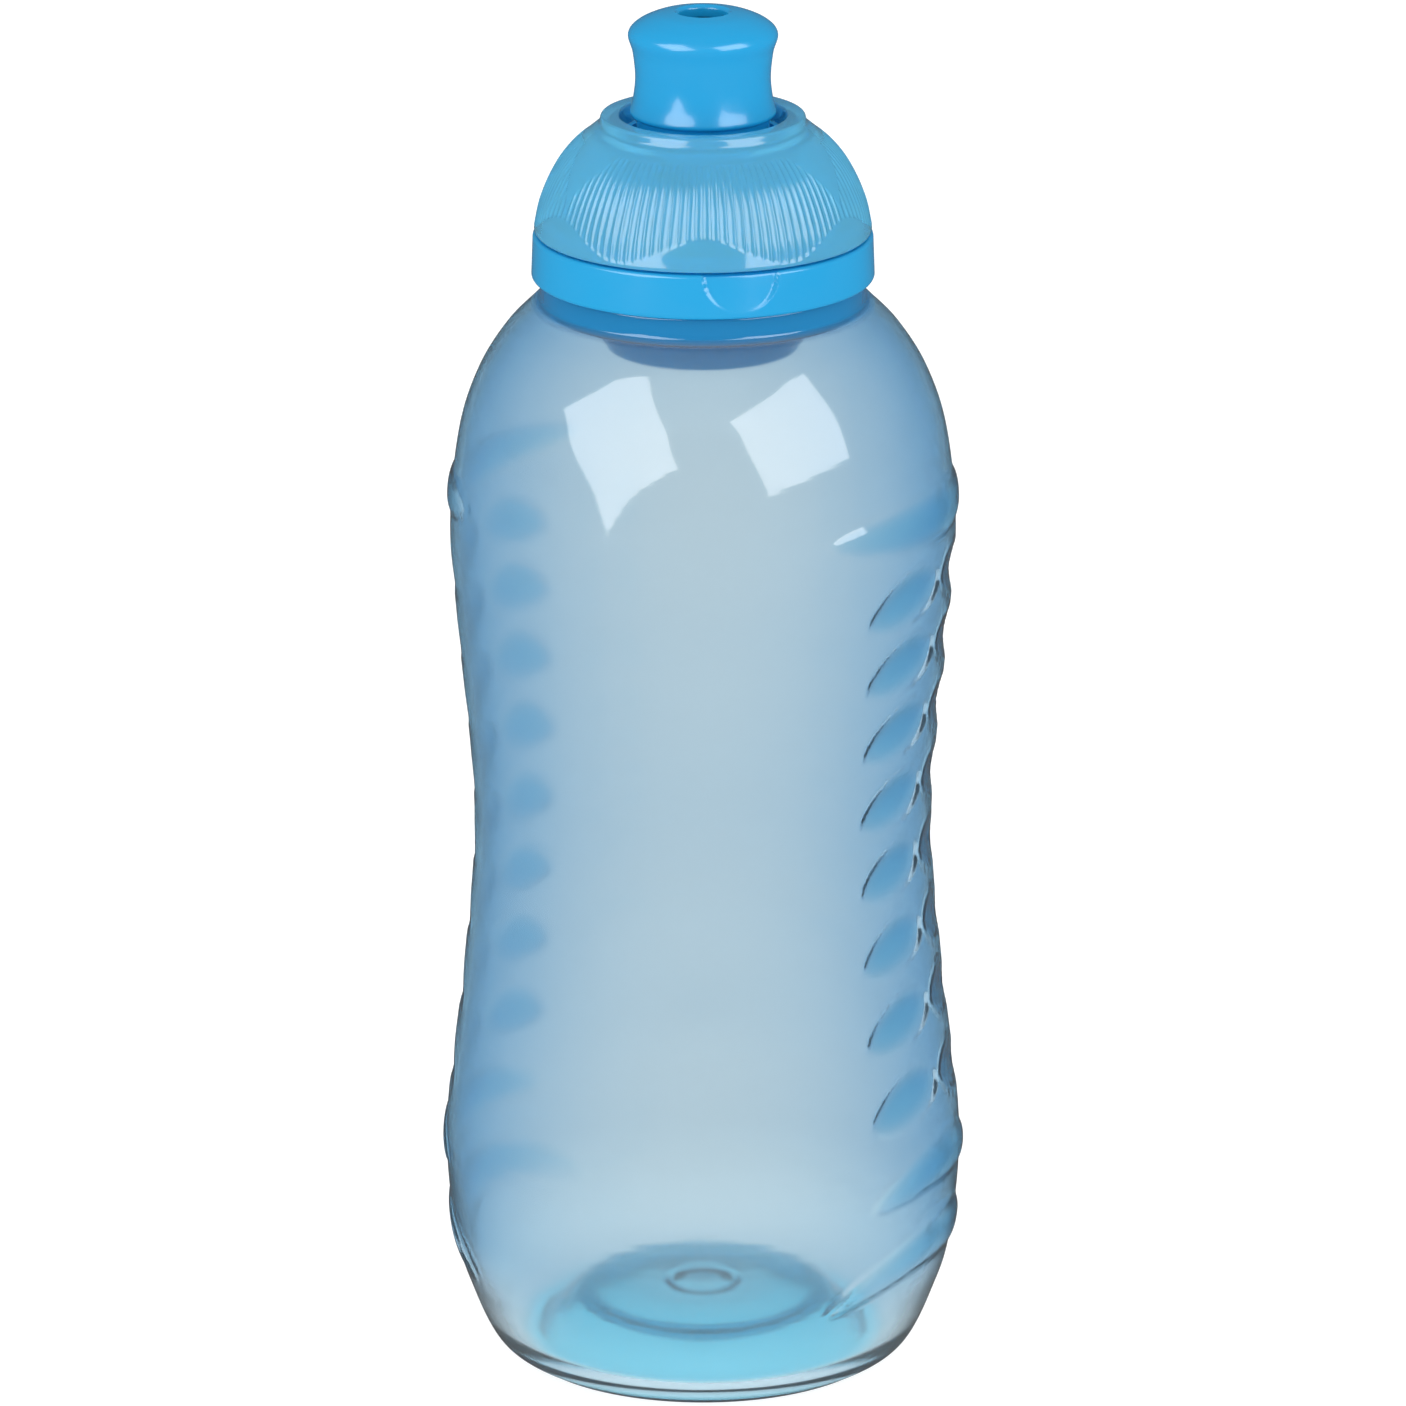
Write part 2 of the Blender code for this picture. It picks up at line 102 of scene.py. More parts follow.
# Grip ribs
GRIP_RIBS = 11
RIB_TOP_Z = 125.0 * MM
RIB_STEP = 9.2 * MM
RIB_STEP_GROWTH = 0.125 * MM
RIB_HEIGHT = 0.66 * MM
LEAF_DEPTH = 0.75 * MM
LEAF_HALF_WIDTH = 4.0 * MM
RIB_DROOP = 0.0042 * MM
LONG_RIBS = (0, GRIP_RIBS - 2, GRIP_RIBS - 1)
LONG_RIB_HALF_WIDTH = 3.5 * MM
END_RIB_HALF_SPAN = 40.0
LEAF_HALF_SPAN = 26.0
LEAF_SPAN_GROWTH = 3.0
MIDDLE_RIB = 5
LEAF_GAP = 1.5
GRIP_LOW_Z = 8 * MM
GRIP_HIGH_Z = 135 * MM
GRIP_INNER_R = 27 * MM
GRIP_SHIFT_R = 29 * MM

# Cap base
RING_BOTTOM_Z = 155.2 * MM
RING_BORE_R = 22.75 * MM
DECK_TOP_Z = 161.3 * MM
DECK_UNDER_Z = 160.1 * MM
PLUG_R = 19.9 * MM
PLUG_WALL = 1.0 * MM
PLUG_BOTTOM_Z = 152.0 * MM
WELL_R = 13.3 * MM
WELL_BORE_R = 12.0 * MM
CAGE_R = 11.1 * MM
CAGE_BORE_R = 10.3 * MM
CAGE_RING_HEIGHT = 0.8 * MM
CAGE_POSTS = 6
CAGE_POST_ARC = math.radians(13)
CAGE_TURN = math.radians(-10)
CLIP_RIM_R = 21.2 * MM
CLIP_RIM_TOP_Z = 163.2 * MM
THUMB_MARK_R = 5.4 * MM
THUMB_MARK_DEPTH = 0.55 * MM
THUMB_MARK_ANGLE = math.radians(-57)

# Valve post
POST_DISC_R = 11.8 * MM
POST_DISC_TOP_Z = 147.1 * MM
POST_R = 2.3 * MM
POST_TIP_R = 3.05 * MM
FLOW_HOLES = 6
FLOW_HOLE_R = 2.4 * MM
FLOW_CIRCLE_R = 7.4 * MM
FLOW_HOLE_START = math.radians(4)

# Nozzle, raised
NOZZLE_TRAVEL = 9.0 * MM
OUTLET_R = 3.35 * MM
HEAD_R = 10.22 * MM
NOZZLE_WAIST_R = 9.25 * MM
FLARE_R = 10.0 * MM
FLARE_BOTTOM_Z = 178.0 * MM
SKIRT_R = 9.1 * MM
SKIRT_BORE_R = 7.8 * MM
PISTON_R = 11.7 * MM
PISTON_TOP_Z = 159.8 * MM
SEAL_GROOVE_R = 10.6 * MM
SEAL_GROOVE_HALF = 0.85 * MM
KEYS = 3
KEY_R = 10.9 * MM
KEY_ARC = math.radians(43)
KEY_HEIGHT = 2.1 * MM
PIN_RADIUS = 1.0 * MM
PIN_REACH_R = 12.6 * MM
PIN_Z = 173.25 * MM

# Twist dome
DOME_TWIST = math.radians(90)
COLLAR_BORE_R = 11.4 * MM
COLLAR_R = 13.95 * MM
SLEEVE_R = 12.8 * MM
SLEEVE_BOTTOM_Z = 161.9 * MM
SLEEVE_TOP_Z = 175.2 * MM
TRACK_HALF_HEIGHT = 1.45 * MM
RIBS_AROUND = 120
DOME_COLUMNS = RIBS_AROUND * 6
DOME_RIB_HEIGHT = 0.2 * MM
SCALLOPS = 6
CAMERA_AZIMUTH = math.radians(20)
DOME_PHASE = CAMERA_AZIMUTH - math.pi / 2

# Camera and studio
CAMERA_PITCH = math.radians(17.4)
CAMERA_DISTANCE = 1.4958
CAMERA_LENS = 276.5
AIM = Vector((0.0, 0.0, 93.8 * MM))
SOFTBOX_AIM = Vector((0, 0, 0.12))
SOFTBOX_DISTANCE = 1.3
MIRRORED_WORLD = 0.1
FLOOR_SIZE = 30
FLOOR_GLOW = 0.9


def mm(points):
    """Points given as (radius, height) in millimetres, in metres."""
    return [(radius * MM, height * MM) for radius, height in points]


def smooth(points, steps):
    """A Catmull-Rom curve through (radius, height) points, with that many steps between neighbours."""
    first = Vector(points[0]) * 2 - Vector(points[1])
    last = Vector(points[-1]) * 2 - Vector(points[-2])
    line = [first] + [Vector(point) for point in points] + [last]
    curve = []
    for index in range(1, len(line) - 2):
        before, start, end, after = line[index - 1:index + 3]
        for step in range(steps):
            t = step / steps
            spot = (start * 2 + (end - before) * t + (before * 2 - start * 5 + end * 4 - after) * t ** 2
                    + (start * 3 - before - end * 3 + after) * t ** 3) / 2
            curve.append(tuple(spot))
    curve.append(tuple(points[-1]))
    return curve


def resample(outline, spacing):
    """The outline with extra points, so that none of its steps is longer than the spacing."""
    points = [outline[0]]
    for start, end in zip(outline, outline[1:]):
        length = math.hypot(end[0] - start[0], end[1] - start[1])
        count = max(1, math.ceil(length / spacing))
        for step in range(1, count + 1):
            share = step / count
            points.append((start[0] + (end[0] - start[0]) * share, start[1] + (end[1] - start[1]) * share))
    return points


def rounded(outline, radius, steps=3, closed=True):
    """The outline with each corner cut back by the radius and bridged with an arc."""
    count = len(outline)
    result = []
    for index, corner in enumerate(outline):
        if not closed and index in (0, count - 1):
            result.append(corner)
            continue
        here = Vector(corner)
        before = Vector(outline[index - 1]) - here
        after = Vector(outline[(index + 1) % count]) - here
        reach = min(radius, before.length * 0.4, after.length * 0.4)
        start = here + before.normalized() * reach
        end = here + after.normalized() * reach
        for step in range(steps + 1):
            t = step / steps
            result.append(tuple(start * (1 - t) ** 2 + here * 2 * t * (1 - t) + end * t ** 2))
    return result


def inset(line, depth_at):
    """A line that runs down an outer side, moved in towards the axis by depth_at(height) along its normals."""
    moved = []
    for index, (radius, height) in enumerate(line):
        before = line[max(index - 1, 0)]
        after = line[min(index + 1, len(line) - 1)]
        along = Vector((after[0] - before[0], after[1] - before[1])).normalized()
        depth = depth_at(height)
        moved.append((radius + along.y * depth, height - along.x * depth))
    return moved


def turned(name, outline, columns=160, closed=True, shift=None):
    """A mesh turned about Z from an outline that runs down the outer side and up the inner side.

    shift(angles, radii, heights) gives how far each point stands out from the turned surface.
    """
    radii, heights = np.array(outline).T
    poles = [index for index in (0, len(outline) - 1) if radii[index] < 1e-7]
    rows = [index for index in range(len(outline)) if index not in poles]
    angles = np.arange(columns) * math.tau / columns
    grid_r = np.repeat(radii[rows][:, None], columns, 1)
    grid_z = np.repeat(heights[rows][:, None], columns, 1)
    grid_a = np.repeat(angles[None, :], len(rows), 0)
    if shift:
        grid_r = grid_r + shift(grid_a, grid_r, grid_z)
    points = np.stack([grid_r * np.cos(grid_a), grid_r * np.sin(grid_a), grid_z], -1).reshape(-1, 3)
    vertices = points.tolist() + [(0.0, 0.0, heights[index]) for index in poles]
    faces = []
    last = len(rows) if closed else len(rows) - 1
    for row in range(last):
        below = (row + 1) % len(rows)
        for column in range(columns):
            following = (column + 1) % columns
            faces.append((row * columns + column, below * columns + column,
                          below * columns + following, row * columns + following))
    for order, pole in enumerate(poles):
        row = 0 if pole == 0 else len(rows) - 1
        centre = len(points) + order
        for column in range(columns):
            following = (column + 1) % columns
            edge = (row * columns + column, row * columns + following)
            faces.append((centre,) + (edge if pole == 0 else edge[::-1]))
    mesh = bpy.data.meshes.new(name)
    mesh.from_pydata(vertices, [], faces)
    mesh.validate()
    item = bpy.data.objects.new(name, mesh)
    bpy.context.scene.collection.objects.link(item)
    mesh.shade_smooth()
    return item


def polar(radius, angle, height):
    return Vector((radius * math.cos(angle), radius * math.sin(angle), height))


def arc_bar(span, radii, height_at, half_height, steps=16):
    """The rings of a rectangular bar that follows an arc about Z, with its middle at height_at(angle)."""
    rings = []
    for index in range(steps + 1):
        angle = span[0] + (span[1] - span[0]) * index / steps
        middle = height_at(angle)
        corners = ((0, -1), (1, -1), (1, 1), (0, 1))
        rings.append([polar(radii[side], angle, middle + up * half_height) for side, up in corners])
    return rings


def round_bar(start, end, radius, sides=48):
    """The rings of a round bar between two points."""
    along = (end - start).normalized()
    across = along.orthogonal().normalized()
    beside = along.cross(across)
    turns = [math.tau * index / sides for index in range(sides)]
    return [[centre + (across * math.cos(turn) + beside * math.sin(turn)) * radius for turn in turns]
            for centre in (start, end)]


def carve(item, bodies, operation, sharp=30):
    """Cuts closed bodies out of a piece, or joins them to it, and keeps the result as its mesh."""
    shape = bmesh.new()
    for rings in bodies:
        rows = [[shape.verts.new(point) for point in ring] for ring in rings]
        for lower, upper in zip(rows, rows[1:]):
            for index in range(len(lower)):
                following = (index + 1) % len(lower)
                shape.faces.new((lower[index], lower[following], upper[following], upper[index]))
        shape.faces.new(rows[0][::-1])
        shape.faces.new(rows[-1])
    bmesh.ops.recalc_face_normals(shape, faces=shape.faces)
    mesh = bpy.data.meshes.new("helper")
    shape.to_mesh(mesh)
    shape.free()
    helper = bpy.data.objects.new("helper", mesh)
    bpy.context.scene.collection.objects.link(helper)
    boolean = item.modifiers.new("carve", "BOOLEAN")
    boolean.operation = operation
    boolean.object = helper
    evaluated = item.evaluated_get(bpy.context.evaluated_depsgraph_get())
    result = bpy.data.meshes.new_from_object(evaluated)
    item.modifiers.remove(boolean)
    item.data = result
    bpy.data.objects.remove(helper, do_unlink=True)
    result.shade_smooth()
    result.set_sharp_from_angle(angle=math.radians(sharp))


def stand_for(item, node, body, material):
    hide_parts(node)
    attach(item, body)
    item.data.materials.clear()
    item.data.materials.append(material)


def smooth_step(values, low, high):
    share = np.clip((values - low) / (high - low), 0.0, 1.0)
    return share * share * (3 - 2 * share)


def body_side(steps=8):
    """The body's outer side from the shoulder to the foot, just inside the frame's at the belly."""
    return smooth([(SHOULDER_R, SHOULDER_TOP_Z)] + mm([(27.3, 147.4), (31.0, 141.3), (33.6, 133.0)])
                  + [(CHEST_R, 120.0 * MM)] + mm([(33.9, 105.5)]) + [(WAIST_R, 79.0 * MM)]
                  + mm([(33.3, 56.5)]) + [(BELLY_R, 33.0 * MM)] + mm([(34.8, 17.3), (32.5, 9.3), (29.4, 2.7)])
                  + [(FOOT_OUTER_R, 0.0)], steps)


def wall_at(height):
    """The body's wall, which thickens towards the base."""
    low = min(max((30.0 * MM - height) / (28.0 * MM), 0.0), 1.0)
    return NECK_WALL + (BASE_WALL - NECK_WALL) * 0.5 * low


def from_side(angles):
    """The angle away from the nearer side, +X or -X, positive towards the back, in degrees."""
    return np.degrees(np.arcsin(np.clip(np.sin(angles), -1, 1)))


def roll(across, width):
    """The section of a raised roll: full in the middle, with a crisp crease along both edges."""
    return np.clip(1 - np.abs(across / np.maximum(width, 1e-6)) ** 2.6, 0, 1)


def leaf(along, across):
    """The depth of a leaf-shaped hollow that runs from 0 to 1 along its middle line."""
    share = np.clip(4 * along * (1 - along), 0, 1)
    section = np.clip(1 - (across / np.maximum(LEAF_HALF_WIDTH * share ** 0.6, 1e-9)) ** 2, 0, 1)
    return LEAF_DEPTH * share ** 0.5 * section


def grip_ribs(angles, heights):
    """The grips' relief: long raised ribs at both ends, and between them pairs of leaf-shaped hollows."""
    turn = from_side(angles)
    total = np.zeros_like(heights)
    for index in range(GRIP_RIBS):
        crown = RIB_TOP_Z - RIB_STEP * index - RIB_STEP_GROWTH * index * index
        half_span = LEAF_HALF_SPAN + LEAF_SPAN_GROWTH * abs(index - MIDDLE_RIB) / MIDDLE_RIB
        if index in (0, GRIP_RIBS - 1):
            half_span = END_RIB_HALF_SPAN
        droop = 0.0 if index == 0 else RIB_DROOP
        across = heights - (crown - droop * turn ** 2)
        if index in LONG_RIBS:
            share = np.clip(1 - (turn / half_span) ** 2, 0, 1)
            rib = RIB_HEIGHT * share ** 0.4 * roll(across, LONG_RIB_HALF_WIDTH * np.sqrt(share))
        else:
            front, back = (leaf((half_span + way * turn) / (half_span - LEAF_GAP), across) for way in (1, -1))
            rib = -np.maximum(front, back)
        total = np.where(np.abs(rib) > np.abs(total), rib, total)
    return total


def screw_thread(angles, heights, top, arc, depth):
    """How far the thread's starts stand out of a wall, with blunt ends that fade in."""
    total = np.zeros_like(heights)
    for start in range(THREAD_STARTS):
        end = THREAD_END_ANGLE + math.tau * start / THREAD_STARTS
        back = np.mod(end - angles, math.tau)
        away = np.abs(heights - (top - back * THREAD_LEAD / math.tau))
        fade = smooth_step(-back, -arc, -arc + 0.12) * smooth_step(back, 0.0, 0.12)
        total = np.maximum(total, depth * fade * (1 - smooth_step(away, THREAD_HALF * 0.75, THREAD_HALF)))
    return total


def body_relief(angles, radii, heights):
    on_side = (heights > GRIP_LOW_Z) & (heights < GRIP_HIGH_Z) & (radii > GRIP_SHIFT_R)
    on_neck = (heights > BAND_TOP_Z + 0.3 * MM) & (radii > NECK_R - 0.1 * MM)
    ribs = np.where(on_side, grip_ribs(angles, heights), 0.0)
    thread = screw_thread(angles, heights, NECK_THREAD_TOP_Z, NECK_THREAD_ARC, NECK_THREAD_DEPTH)
    return ribs + np.where(on_neck, thread, 0.0)


def store_relief(item):
    """Keeps how far each point stands in or out in the grips' relief, as the mask of the painted shade there."""
    points = np.empty(len(item.data.vertices) * 3)
    item.data.vertices.foreach_get("co", points)
    x, y, z = points.reshape(-1, 3).T
    on_side = (z > GRIP_LOW_Z) & (z < GRIP_HIGH_Z) & (np.hypot(x, y) > GRIP_INNER_R)
    depth = np.where(on_side, np.abs(grip_ribs(np.arctan2(y, x), z)) / LEAF_DEPTH, 0.0)
    item.data.attributes.new(RELIEF, "FLOAT", "POINT").data.foreach_set("value", depth)


def make_body(material):
    bore_r = NECK_R - NECK_WALL
    hollow_base = smooth(mm([(0.0, 9.4), (9.0, 9.0), (16.4, 7.9), (20.2, 5.2), (22.6, 2.9), (25.2, 2.2),
                             (27.7, 3.7)]), 5)
    hollow_side = resample(inset(body_side(), wall_at), 1.0 * MM)[::-1]
    hollow_side = [point for point in hollow_side if point[1] > 5.5 * MM and point[0] > bore_r + 1.6 * MM]
    bore = rounded([hollow_side[-1], (bore_r, BAND_BOTTOM_Z - 1.0 * MM), (bore_r, RIM_Z), (NECK_R, RIM_Z),
                    (NECK_R, BAND_TOP_Z + 0.4 * MM), (BAND_R, BAND_TOP_Z), (BAND_R, BAND_BOTTOM_Z),
                    (BAND_R + 0.1 * MM, BAND_BOTTOM_Z - 0.4 * MM), (SHOULDER_R, SHOULDER_TOP_Z)],
                   0.3 * MM, closed=False)
    neck = resample(bore, 0.2 * MM)
    side = resample(body_side(), 0.5 * MM)
    foot = [(FOOT_OUTER_R - 0.4 * MM, 0.0), (FOOT_INNER_R + 0.4 * MM, 0.0)]
    punt = resample(smooth([(FOOT_INNER_R, 0.1 * MM), (FOOT_INNER_R - 1.6 * MM, 1.5 * MM),
                            (17.6 * MM, 4.9 * MM), (16.2 * MM, 5.6 * MM)], 6), 0.8 * MM)
    crown = resample(smooth([(16.2 * MM, 5.6 * MM), (11.0 * MM, 6.5 * MM), (GATE_R + 0.6 * MM, 6.85 * MM)], 6),
                     0.8 * MM)
    gate = [(GATE_R, 6.4 * MM), (GATE_R - 0.6 * MM, 6.4 * MM), (GATE_R - 1.2 * MM, 6.9 * MM),
            (2.0 * MM, PUNT_HEIGHT), (0.0, PUNT_HEIGHT)]
    outline = hollow_base + hollow_side[:-1] + neck[:-1] + side[:-1] + foot + punt[:-1] + crown + gate
    item = turned("squeeze_body", outline, BODY_COLUMNS, closed=False, shift=body_relief)
    store_relief(item)
    stand_for(item, "bottle_body", "bottle", material)


def cap_relief(angles, radii, heights):
    """The thumb mark in the ring's outer side and the thread in its bore."""
    turn = np.mod(angles - THUMB_MARK_ANGLE + math.pi, math.tau) - math.pi
    away = np.hypot(turn * RING_R, heights - DECK_TOP_Z)
    depth = THUMB_MARK_DEPTH * np.clip(1 - (DECK_TOP_Z - heights) / THUMB_MARK_R, 0, 1)
    inside = smooth_step(-away, -THUMB_MARK_R, 0.2 * MM - THUMB_MARK_R)
    mark = np.where(radii > RING_BORE_R + 0.2 * MM, depth * inside, 0)
    thread = screw_thread(angles, heights, CAP_THREAD_TOP_Z, CAP_THREAD_ARC, CAP_THREAD_DEPTH)
    on_bore = (np.abs(radii - RING_BORE_R) < 0.05 * MM) & (heights < DECK_UNDER_Z - 0.2 * MM)
    return -mark - np.where(on_bore, thread, 0.0)


def make_cap(material):
    ring = [(CLIP_RIM_R, DECK_TOP_Z), (RING_R - 0.5 * MM, DECK_TOP_Z), (RING_R - 0.2 * MM, DECK_TOP_Z - 0.3 * MM),
            (RING_R, RING_BOTTOM_Z + 0.3 * MM), (RING_R - 0.2 * MM, RING_BOTTOM_Z),
            (RING_BORE_R, RING_BOTTOM_Z), (RING_BORE_R, DECK_UNDER_Z)]
    plug = [(PLUG_R, DECK_UNDER_Z), (PLUG_R, PLUG_BOTTOM_Z + 0.6 * MM), (PLUG_R - 0.4 * MM, PLUG_BOTTOM_Z),
            (PLUG_R - PLUG_WALL, PLUG_BOTTOM_Z), (PLUG_R - PLUG_WALL, DECK_UNDER_Z)]
    well = [(WELL_R, DECK_UNDER_Z), (WELL_R, WELL_BOTTOM_Z), (WELL_BORE_R - 0.5 * MM, WELL_BOTTOM_Z),
            (WELL_BORE_R, WELL_BOTTOM_Z + 0.4 * MM), (WELL_BORE_R, DECK_UNDER_Z + 0.2 * MM),
            (CAGE_R + 0.3 * MM, DECK_TOP_Z)]
    clip = [(CLIP_RIM_R - 1.0 * MM, DECK_TOP_Z), (CLIP_RIM_R - 1.0 * MM, CLIP_RIM_TOP_Z),
            (CLIP_RIM_R, CLIP_RIM_TOP_Z), (CLIP_RIM_R + 0.3 * MM, CLIP_RIM_TOP_Z - 0.5 * MM),
            (CLIP_RIM_R, CLIP_RIM_TOP_Z - 0.9 * MM)]
    outline = resample(rounded(ring + plug + well + clip, 0.25 * MM), 0.22 * MM)
    item = turned("cap_shell", outline, 480, shift=cap_relief)
    item.data.set_sharp_from_angle(angle=math.radians(50))
    stand_for(item, "cap_base", "cap", material)


def make_cage(material):
    """The guide cage: a thin tube on the deck whose six windows leave six posts and a top ring."""
    outline = rounded([(CAGE_R, CAGE_TOP_Z), (CAGE_R, DECK_UNDER_Z + 0.05 * MM),
                       (CAGE_BORE_R, DECK_UNDER_Z + 0.05 * MM), (CAGE_BORE_R, CAGE_TOP_Z)], 0.12 * MM)
    item = turned("guide_cage", outline, 144)
    bottom = DECK_TOP_Z
    top = CAGE_TOP_Z - CAGE_RING_HEIGHT
    half = math.pi / CAGE_POSTS - CAGE_POST_ARC / 2
    windows = []
    for index in range(CAGE_POSTS):
        middle = CAGE_TURN + math.tau * (index + 0.5) / CAGE_POSTS
        windows.append(arc_bar((middle - half, middle + half), (CAGE_BORE_R - 1.0 * MM, CAGE_R + 1.0 * MM),
                               lambda angle: (bottom + top) / 2, (top - bottom) / 2))
    carve(item, windows, "DIFFERENCE")
    stand_for(item, "cap_base", "cap", material)


def make_post(material):
    tip = [(POST_TIP_R - 0.6 * MM, POST_TIP_Z), (POST_TIP_R, POST_TIP_Z - 0.6 * MM),
           (POST_TIP_R, POST_TIP_Z - 2.4 * MM), (POST_R, POST_TIP_Z - 3.6 * MM)]
    disc = [(POST_R, POST_DISC_TOP_Z + 1.2 * MM), (POST_R + 1.2 * MM, POST_DISC_TOP_Z),
            (POST_DISC_R, POST_DISC_TOP_Z), (POST_DISC_R, POST_DISC_BOTTOM_Z)]
    outline = rounded([(0.0, POST_TIP_Z)] + tip + disc + [(0.0, POST_DISC_BOTTOM_Z)], 0.25 * MM, closed=False)
    item = turned("valve_stem", outline, 96, closed=False)
    drills = []
    for index in range(FLOW_HOLES):
        angle = FLOW_HOLE_START + math.tau * index / FLOW_HOLES
        drills.append(round_bar(polar(FLOW_CIRCLE_R, angle, POST_DISC_BOTTOM_Z - 1.0 * MM),
                                polar(FLOW_CIRCLE_R, angle, POST_DISC_TOP_Z + 1.0 * MM), FLOW_HOLE_R))
    carve(item, drills, "DIFFERENCE")
    stand_for(item, "valve_post", "cap", material)


def make_nozzle(material):
    head = smooth([(OUTLET_R + 0.5 * MM, NOZZLE_TOP_Z - 0.02 * MM), (6.5 * MM, NOZZLE_TOP_Z - 0.5 * MM),
                   (9.1 * MM, NOZZLE_TOP_Z - 1.7 * MM), (HEAD_R, NOZZLE_TOP_Z - 3.2 * MM),
                   (9.6 * MM, NOZZLE_TOP_Z - 5.6 * MM), (NOZZLE_WAIST_R, NOZZLE_TOP_Z - 9.0 * MM),
                   (9.5 * MM, 180.5 * MM), (FLARE_R, FLARE_BOTTOM_Z + 0.4 * MM)], 10)
    groove = (PISTON_TOP_Z + PISTON_BOTTOM_Z) / 2
    foot = [(FLARE_R - 0.1 * MM, FLARE_BOTTOM_Z), (SKIRT_R, FLARE_BOTTOM_Z - 0.4 * MM), (SKIRT_R, PISTON_TOP_Z),
            (PISTON_R, PISTON_TOP_Z), (PISTON_R, groove + SEAL_GROOVE_HALF),
            (SEAL_GROOVE_R, groove + SEAL_GROOVE_HALF), (SEAL_GROOVE_R, groove - SEAL_GROOVE_HALF),
            (PISTON_R, groove - SEAL_GROOVE_HALF), (PISTON_R, PISTON_BOTTOM_Z), (SKIRT_BORE_R, PISTON_BOTTOM_Z)]
    inside = [(SKIRT_BORE_R, NOZZLE_TOP_Z - 5.6 * MM), (7.0 * MM, NOZZLE_TOP_Z - 3.0 * MM),
              (5.2 * MM, NOZZLE_TOP_Z - 1.9 * MM), (OUTLET_R, NOZZLE_TOP_Z - 1.7 * MM),
              (OUTLET_R, NOZZLE_TOP_Z - 0.4 * MM)]
    outline = head + rounded([head[-1]] + foot + inside + [head[0]], 0.15 * MM, closed=False)[1:-1]
    item = turned("drinking_nozzle", outline, 160)
    solids = []
    for index in range(KEYS):
        angle = CAGE_TURN + math.tau * (2 * index + 0.5) / CAGE_POSTS
        solids.append(arc_bar((angle - KEY_ARC / 2, angle + KEY_ARC / 2), (SKIRT_R - 0.5 * MM, KEY_R),
                              lambda turn: PIN_Z, KEY_HEIGHT / 2))
    carve(item, solids, "UNION")
    pins = [round_bar(polar(SKIRT_R, CAGE_TURN + math.tau * (2 * index + 0.5) / CAGE_POSTS, PIN_Z),
                      polar(PIN_REACH_R, CAGE_TURN + math.tau * (2 * index + 0.5) / CAGE_POSTS, PIN_Z), PIN_RADIUS)
            for index in range(KEYS)]
    carve(item, pins, "UNION")
    stand_for(item, "nozzle", "nozzle", material)


def make_rings(material):
    """The cap's flat gasket, with a raised bead on each face, and the lip seal on the nozzle's piston."""
    low, high = GASKET_LOW.z, GASKET_HIGH.z
    outer, inner = GASKET_HIGH.x, 20.2 * MM
    bead = (outer + inner) / 2
    edge = 0.1 * MM
    gasket = [(outer, high - edge), (outer, low + edge), (bead + 0.3 * MM, low + edge), (bead, low),
              (bead - 0.3 * MM, low + edge), (inner, low + edge), (inner, high - edge),
              (bead - 0.3 * MM, high - edge), (bead, high), (bead + 0.3 * MM, high - edge)]
    item = turned("gasket_ring", rounded(gasket, 0.1 * MM), 160)
    stand_for(item, "cap_gasket", "gasket", material)
    low, high = SEAL_LOW.z, SEAL_HIGH.z
    outer, inner = SEAL_HIGH.x, 10.8 * MM
    middle = (low + high) / 2
    lip = 0.4 * MM
    seal = [(outer - lip, high), (outer, middle + 0.12 * MM), (outer, middle - 0.12 * MM), (outer - lip, low),
            (inner, low), (inner + 0.2 * MM, middle), (inner, high)]
    item = turned("lip_seal", rounded(seal, 0.1 * MM), 128)
    stand_for(item, "nozzle_seal", "nozzle", material)


def dome_side(steps):
    return smooth(mm([(14.9, 176.1), (18.1, 173.3), (20.35, 170.2), (22.2, 166.0)])
                  + [(DOME_R, DOME_BOTTOM_Z + 0.4 * MM)], steps)


def ribbed_mask(angles, heights):
    """1 where the dome has its fine ribs: above the scallops, and clear of the three smooth triangles."""
    turn = np.degrees(np.mod(angles - DOME_PHASE + math.pi, math.tau) - math.pi)
    scallop = 164.05 * MM + 1.95 * MM * np.cos(np.radians(turn) * SCALLOPS)
    below = smooth_step(heights, scallop, scallop + 0.35 * MM)
    third = np.abs(np.mod(turn, 120.0) - 60.0)
    rise = np.clip((heights - 167.5 * MM) / (7.2 * MM), 0, 1)
    triangle = 16.0 * rise ** 1.4
    beside = smooth_step(third, triangle, triangle + 1.2)
    above = smooth_step(-heights, -175.0 * MM, -174.5 * MM)
    return below * beside * above


def dome_relief(angles, radii, heights):
    mask = ribbed_mask(angles, heights)
    ridge = np.clip(np.cos((angles - DOME_PHASE) * RIBS_AROUND), 0, 1) ** 2
    side = dome_side(8)
    limit = np.interp(heights, [point[1] for point in side][::-1], [point[0] for point in side][::-1]) - 0.6 * MM
    return np.where(radii > limit, mask * (DOME_RIB_HEIGHT * ridge - 0.12 * MM), 0.0)


